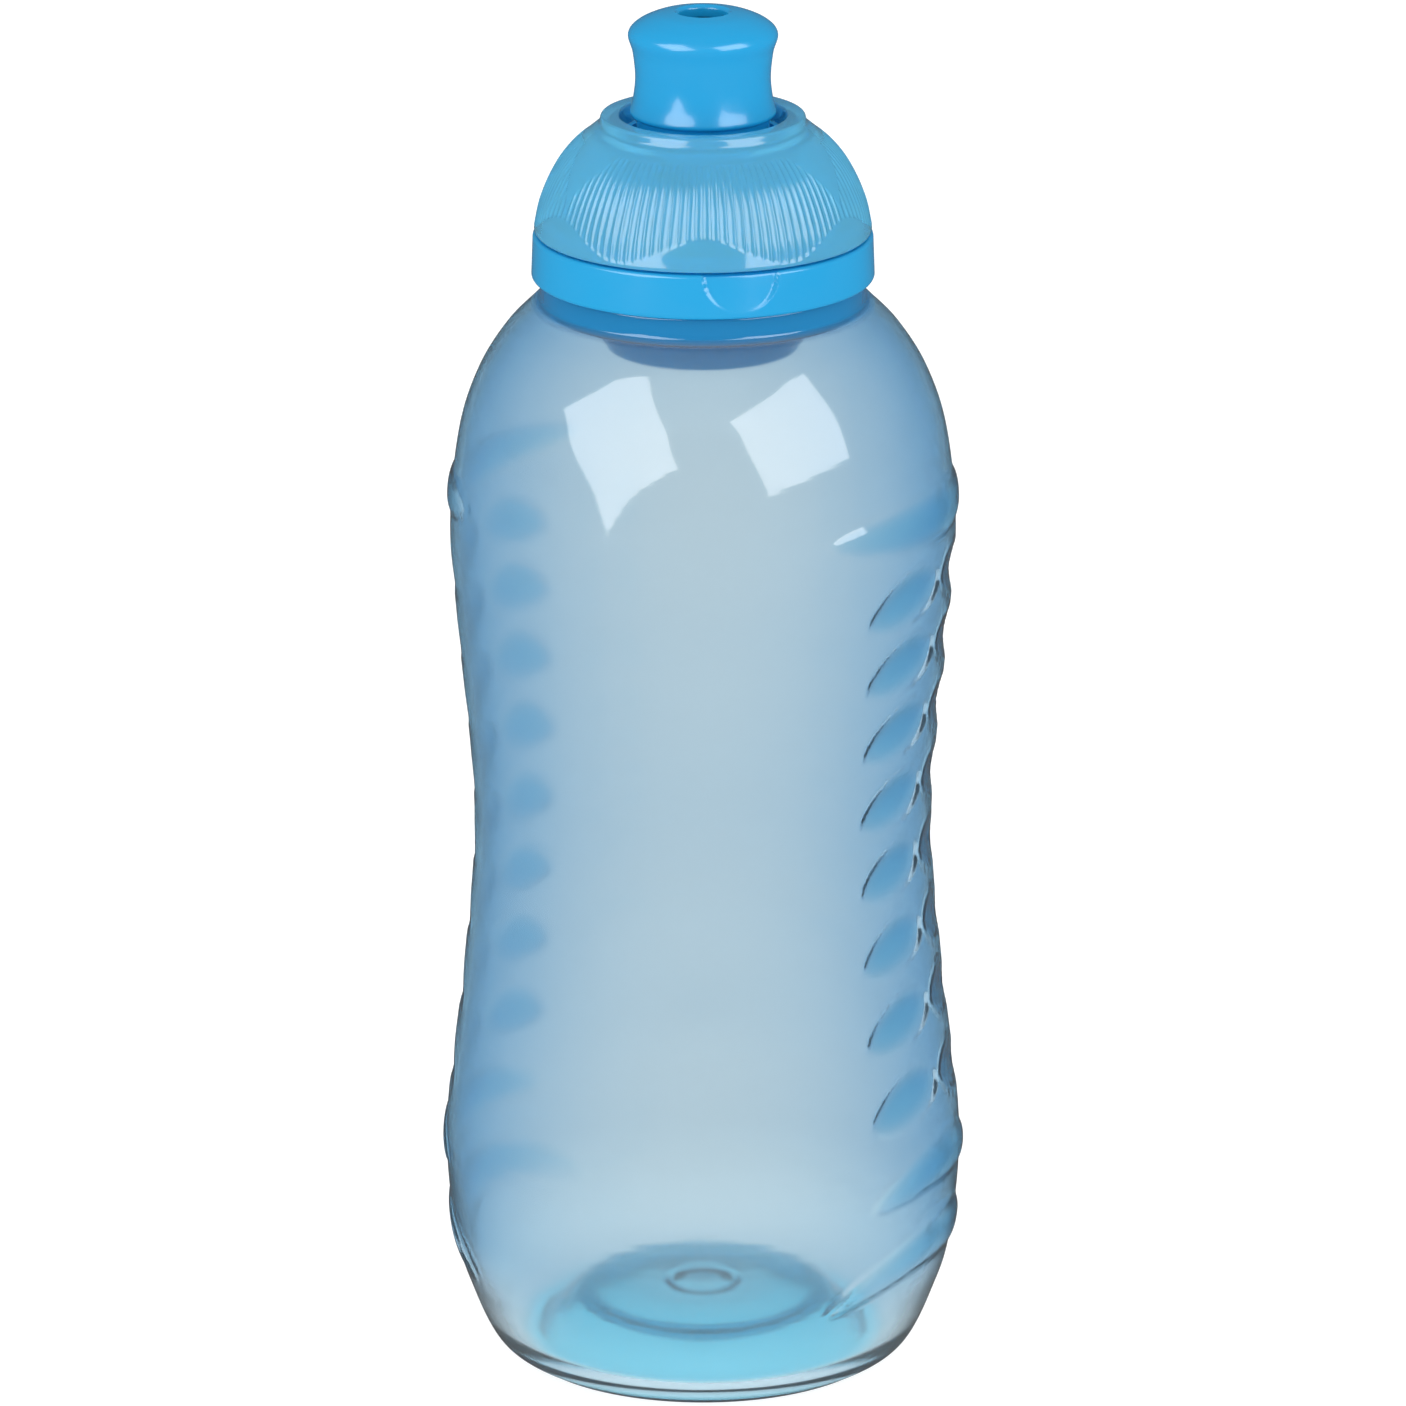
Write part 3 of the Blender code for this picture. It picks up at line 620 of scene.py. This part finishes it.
def make_dome(material):
    collar = rounded([(COLLAR_BORE_R, COLLAR_TOP_Z - 2.6 * MM), (COLLAR_BORE_R, COLLAR_TOP_Z),
                      (COLLAR_R, COLLAR_TOP_Z), (COLLAR_R + 0.25 * MM, COLLAR_TOP_Z - 1.3 * MM),
                      (14.9 * MM, COLLAR_TOP_Z - 1.8 * MM)], 0.45 * MM, 5, closed=False)
    outside = resample(dome_side(8), 0.2 * MM)
    lip = rounded([outside[-1], (DOME_R - 0.15 * MM, DOME_BOTTOM_Z), (21.4 * MM, DOME_BOTTOM_Z),
                   (21.4 * MM, DOME_BOTTOM_Z + 0.4 * MM), (21.8 * MM, DOME_BOTTOM_Z + 0.8 * MM),
                   (21.75 * MM, 163.4 * MM)], 0.15 * MM, closed=False)
    inside = smooth(mm([(21.75, 163.4), (20.9, 166.0), (19.2, 169.3), (17.1, 172.0), (14.6, 174.1),
                        (12.8, 174.9)]), 3)
    outline = collar[:-1] + outside[:-1] + lip[:-1] + inside
    item = turned("dome_shell", outline, DOME_COLUMNS, shift=dome_relief)
    stand_for(item, "twist_dome", "dome", material)


def make_sleeve(material):
    """The sleeve inside the dome, with three helical tracks that carry the nozzle's pins."""
    outline = rounded([(SLEEVE_R, SLEEVE_TOP_Z), (SLEEVE_R, SLEEVE_BOTTOM_Z), (COLLAR_BORE_R, SLEEVE_BOTTOM_Z),
                       (COLLAR_BORE_R, SLEEVE_TOP_Z)], 0.2 * MM)
    item = turned("dome_sleeve", outline, 144)
    slope = NOZZLE_TRAVEL / DOME_TWIST
    spare = (PIN_RADIUS + 0.3 * MM) / SLEEVE_R
    tracks = []
    for index in range(KEYS):
        start = CAGE_TURN + math.tau * (2 * index + 0.5) / CAGE_POSTS
        tracks.append(arc_bar((start - spare, start + DOME_TWIST + spare),
                              (COLLAR_BORE_R - 1.0 * MM, SLEEVE_R + 1.0 * MM),
                              lambda angle, start=start: PIN_Z - (angle - start) * slope, TRACK_HALF_HEIGHT, 32))
    carve(item, tracks, "DIFFERENCE")
    stand_for(item, "twist_dome", "dome", material)


def noise(nodes, links, place, scale, detail=2.0):
    texture = nodes.new("ShaderNodeTexNoise")
    texture.inputs["Scale"].default_value = scale
    texture.inputs["Detail"].default_value = detail
    links.new(place.outputs["Object"], texture.inputs["Vector"])
    return texture.outputs["Fac"]


def ranged(nodes, links, value, low, high):
    """The value's usual span, 0.3 to 0.7, spread over low to high."""
    spread = nodes.new("ShaderNodeMapRange")
    spread.inputs["From Min"].default_value = 0.3
    spread.inputs["From Max"].default_value = 0.7
    spread.inputs["To Min"].default_value = low
    spread.inputs["To Max"].default_value = high
    links.new(value, spread.inputs["Value"])
    return spread.outputs["Result"]


def moulded(name, colour, deep, roughness, drift=18.0, grain=1500.0, grain_depth=0.002, ripple_depth=0.0, **inputs):
    """A moulded plastic: its colour drifts from colour to deep, its gloss varies, and it has grain and ripple."""
    material = bpy.data.materials.new(name)
    material.use_nodes = True
    nodes, links = material.node_tree.nodes, material.node_tree.links
    shader = nodes["Principled BSDF"]
    place = nodes.new("ShaderNodeTexCoord")
    blend = nodes.new("ShaderNodeMix")
    blend.data_type = "RGBA"
    blend.inputs["A"].default_value = (*colour, 1.0)
    blend.inputs["B"].default_value = (*deep, 1.0)
    links.new(ranged(nodes, links, noise(nodes, links, place, drift), 0.0, 1.0), blend.inputs["Factor"])
    links.new(blend.outputs["Result"], shader.inputs["Base Color"])
    gloss = ranged(nodes, links, noise(nodes, links, place, 160.0, 4.0), roughness * 0.85, roughness * 1.15)
    links.new(gloss, shader.inputs["Roughness"])
    fine = nodes.new("ShaderNodeBump")
    fine.inputs["Strength"].default_value = 1.0
    fine.inputs["Distance"].default_value = grain_depth * MM
    links.new(noise(nodes, links, place, grain), fine.inputs["Height"])
    links.new(fine.outputs["Normal"], shader.inputs["Normal"])
    if ripple_depth:
        ripple = nodes.new("ShaderNodeBump")
        ripple.inputs["Strength"].default_value = 1.0
        ripple.inputs["Distance"].default_value = ripple_depth * MM
        links.new(noise(nodes, links, place, 45.0, 1.0), ripple.inputs["Height"])
        links.new(ripple.outputs["Normal"], fine.inputs["Normal"])
        links.new(ripple.outputs["Normal"], shader.inputs["Coat Normal"])
    for key, value in inputs.items():
        shader.inputs[key.replace("_", " ")].default_value = value
    return material


def tint_base(material, mask, tint):
    """Multiplies a material's base colour by the tint where the mask is 1."""
    nodes, links = material.node_tree.nodes, material.node_tree.links
    base = nodes["Principled BSDF"].inputs["Base Color"]
    before = base.links[0].from_socket
    deeper = nodes.new("ShaderNodeMix")
    deeper.data_type = "RGBA"
    deeper.blend_type = "MULTIPLY"
    deeper.inputs["B"].default_value = (*tint, 1.0)
    links.new(mask, deeper.inputs["Factor"])
    links.new(before, deeper.inputs["A"])
    links.new(deeper.outputs["Result"], base)


def deepen_and_shade_edges(material, tint, power):
    """The base colour turns deeper where the plastic is seen edge-on: partly the longer path through the tinted
    wall, partly painted shade for the darker edges.
    """
    nodes, links = material.node_tree.nodes, material.node_tree.links
    facing = nodes.new("ShaderNodeLayerWeight")
    facing.inputs["Blend"].default_value = 0.5
    curve = nodes.new("ShaderNodeMath")
    curve.operation = "POWER"
    curve.inputs[1].default_value = power
    links.new(facing.outputs["Facing"], curve.inputs[0])
    tint_base(material, curve.outputs["Value"], tint)


def paint_relief_shade(material, tint):
    """Painted shade: the base colour turns a deeper blue in the grips' raised ribs and hollows."""
    nodes, links = material.node_tree.nodes, material.node_tree.links
    relief = nodes.new("ShaderNodeAttribute")
    relief.attribute_name = RELIEF
    tint_base(material, edge_mask(nodes, links, relief.outputs["Fac"], 0.0, 1.0), tint)


def height_and_radius(nodes, links):
    """The height and the distance from the bottle's axis of each point on a piece."""
    place = nodes.new("ShaderNodeTexCoord")
    parts = nodes.new("ShaderNodeSeparateXYZ")
    links.new(place.outputs["Object"], parts.inputs["Vector"])
    flat = nodes.new("ShaderNodeVectorMath")
    flat.operation = "MULTIPLY"
    flat.inputs[1].default_value = (1.0, 1.0, 0.0)
    links.new(place.outputs["Object"], flat.inputs[0])
    length = nodes.new("ShaderNodeVectorMath")
    length.operation = "LENGTH"
    links.new(flat.outputs["Vector"], length.inputs[0])
    return parts.outputs["Z"], length.outputs["Value"]


def edge_mask(nodes, links, value, start, end):
    """0 at start and 1 at end, with a soft step between them."""
    step = nodes.new("ShaderNodeMapRange")
    step.interpolation_type = "SMOOTHSTEP"
    step.inputs["From Min"].default_value = start
    step.inputs["From Max"].default_value = end
    links.new(value, step.inputs["Value"])
    return step.outputs["Result"]


def product(nodes, links, first, second):
    times = nodes.new("ShaderNodeMath")
    times.operation = "MULTIPLY"
    links.new(first, times.inputs[0])
    links.new(second, times.inputs[1])
    return times.outputs["Value"]


def recolour_where(nodes, links, shader, mask, colour):
    """Turns the base colour to another where the mask is 1."""
    mix = nodes.new("ShaderNodeMix")
    mix.data_type = "RGBA"
    mix.inputs["B"].default_value = (*colour, 1.0)
    links.new(mask, mix.inputs["Factor"])
    links.new(shader.inputs["Base Color"].links[0].from_socket, mix.inputs["A"])
    links.new(mix.outputs["Result"], shader.inputs["Base Color"])


def paint_light_and_shade_at_ends(material, lit_base_colour, lit_foot_colour, neck_tone_and_shade_colour, clearness):
    """Recolours the ends: painted light makes the foot lighter and the base a bright blue, as if lit from below
    through the floor; the neck turns deep blue, partly for its thicker wall and partly as painted shade under the
    cap ring, and lets less light through.
    """
    nodes, links = material.node_tree.nodes, material.node_tree.links
    shader = nodes["Principled BSDF"]
    height, radius = height_and_radius(nodes, links)
    base = product(nodes, links, edge_mask(nodes, links, height, 9.8 * MM, 8.6 * MM),
                   edge_mask(nodes, links, radius, 27.5 * MM, 23.0 * MM))
    neck = edge_mask(nodes, links, height, 151.0 * MM, 152.2 * MM)
    # Painted light on the foot and the base; the neck's deep blue is partly its thicker wall and partly painted
    # shade.
    recolour_where(nodes, links, shader, edge_mask(nodes, links, height, 22.0 * MM, 6.0 * MM), lit_foot_colour)
    recolour_where(nodes, links, shader, base, lit_base_colour)
    recolour_where(nodes, links, shader, neck, neck_tone_and_shade_colour)
    clear = nodes.new("ShaderNodeMapRange")
    clear.inputs["To Min"].default_value = clearness[0]
    clear.inputs["To Max"].default_value = clearness[1]
    links.new(neck, clear.inputs["Value"])
    links.new(clear.outputs["Result"], shader.inputs["Transmission Weight"])


def absorb(material, colour, density):
    nodes = material.node_tree.nodes
    volume = nodes.new("ShaderNodeVolumeAbsorption")
    volume.inputs["Color"].default_value = (*colour, 1.0)
    volume.inputs["Density"].default_value = density
    material.node_tree.links.new(volume.outputs["Volume"], nodes["Material Output"].inputs["Volume"])


def direction(turn, lift):
    """The way from the bottle to something that far round from its front, and that far up."""
    return Vector((math.sin(turn) * math.cos(lift), -math.cos(turn) * math.cos(lift), math.sin(lift)))


def make_camera():
    camera = bpy.data.cameras.new("camera")
    camera.sensor_width = 36.0
    camera.lens = CAMERA_LENS
    item = bpy.data.objects.new("camera", camera)
    bpy.context.scene.collection.objects.link(item)
    toward = direction(CAMERA_AZIMUTH, CAMERA_PITCH)
    item.location = AIM + toward * CAMERA_DISTANCE
    item.rotation_mode = "QUATERNION"
    item.rotation_quaternion = toward.to_track_quat("Z", "Y")
    bpy.context.scene.camera = item


def softbox(name, azimuth, elevation, width, height, roll_angle, radiance, for_gloss):
    """A large soft light. One for gloss shows only in reflections, and the others only light."""
    light = bpy.data.lights.new(name, "AREA")
    light.shape = "RECTANGLE"
    light.size = width
    light.size_y = height
    light.energy = radiance * math.pi * width * height
    item = bpy.data.objects.new(name, light)
    bpy.context.scene.collection.objects.link(item)
    toward = direction(CAMERA_AZIMUTH + math.radians(azimuth), math.radians(elevation))
    item.location = SOFTBOX_AIM + toward * SOFTBOX_DISTANCE
    item.rotation_mode = "QUATERNION"
    item.rotation_quaternion = toward.to_track_quat("Z", "Y") @ Quaternion((0, 0, 1), math.radians(roll_angle))
    item.visible_diffuse = not for_gloss
    item.visible_transmission = not for_gloss
    item.visible_glossy = for_gloss


def make_studio():
    world = bpy.data.worlds.new("studio")
    bpy.context.scene.world = world
    world.use_nodes = True
    nodes, links = world.node_tree.nodes, world.node_tree.links
    nodes["Background"].inputs["Color"].default_value = (1.0, 1.0, 1.0, 1.0)
    path = nodes.new("ShaderNodeLightPath")
    mirrored = nodes.new("ShaderNodeMath")
    mirrored.operation = "SUBTRACT"
    mirrored.use_clamp = True
    links.new(path.outputs["Is Glossy Ray"], mirrored.inputs[0])
    links.new(path.outputs["Is Transmission Ray"], mirrored.inputs[1])
    dim = nodes.new("ShaderNodeMapRange")
    dim.inputs["To Min"].default_value = 1.0
    dim.inputs["To Max"].default_value = MIRRORED_WORLD
    links.new(mirrored.outputs["Value"], dim.inputs["Value"])
    links.new(dim.outputs["Result"], nodes["Background"].inputs["Strength"])
    bpy.context.scene.view_settings.view_transform = "Standard"
    softbox("softbox_left", -45, 27, 1.0, 1.25, 42, 4.3, True)
    softbox("softbox_right", 48, 28, 1.1, 0.95, 10, 4.3, True)
    softbox("fill_front", 0, 50, 1.0, 0.8, 0, 0.5, False)
    bpy.ops.mesh.primitive_plane_add(size=FLOOR_SIZE)
    floor = bpy.context.object
    floor.name = "floor"
    floor.visible_glossy = False
    white = moulded("floor_white", (0.26, 0.26, 0.26), (0.25, 0.25, 0.25), 0.9, grain_depth=0.0,
                    Emission_Color=(1.0, 1.0, 1.0, 1.0), Emission_Strength=FLOOR_GLOW)
    floor.data.materials.append(white)


make_camera()
make_studio()
squeeze_plastic = moulded("squeeze_plastic", (0.72, 0.795, 0.83), (0.70, 0.78, 0.82), 0.09, grain_depth=0.0008,
                          ripple_depth=0.02, IOR=1.5, Coat_Weight=0.4, Coat_Roughness=0.02)
# Painted shade at the body's edges, partly standing for the longer path through the tinted wall.
deepen_and_shade_edges(squeeze_plastic, (0.0, 0.48, 0.86), 1.1)
# Painted shade: a deeper blue in the grips' ribs and hollows.
paint_relief_shade(squeeze_plastic, (0.50, 0.82, 0.94))
# Painted light on the foot and the base, as if lit from below; painted shade, with the thicker wall, on the neck.
paint_light_and_shade_at_ends(squeeze_plastic, (0.25, 0.85, 1.0), (0.90, 0.98, 1.0), (0.02, 0.30, 0.64), (0.95, 0.2))
absorb(squeeze_plastic, (0.05, 0.52, 0.76), 75.0)
dome_plastic = moulded("dome_plastic", (0.20, 0.74, 1.0), (0.18, 0.70, 0.98), 0.1, grain_depth=0.0008,
                       Transmission_Weight=0.58, IOR=1.5, Coat_Weight=0.3, Coat_Roughness=0.03)
absorb(dome_plastic, (0.10, 0.60, 0.97), 40.0)
cap_plastic = moulded("cap_plastic", (0.014, 0.40, 0.78), (0.011, 0.375, 0.75), 0.22, Coat_Weight=0.4,
                      Coat_Roughness=0.06)
seal_rubber = moulded("seal_rubber", (0.75, 0.77, 0.78), (0.68, 0.70, 0.71), 0.6, grain=900.0, grain_depth=0.02)

make_body(squeeze_plastic)
make_cap(cap_plastic)
make_cage(cap_plastic)
make_post(cap_plastic)
make_nozzle(cap_plastic)
make_rings(seal_rubber)
make_dome(dome_plastic)
make_sleeve(dome_plastic)
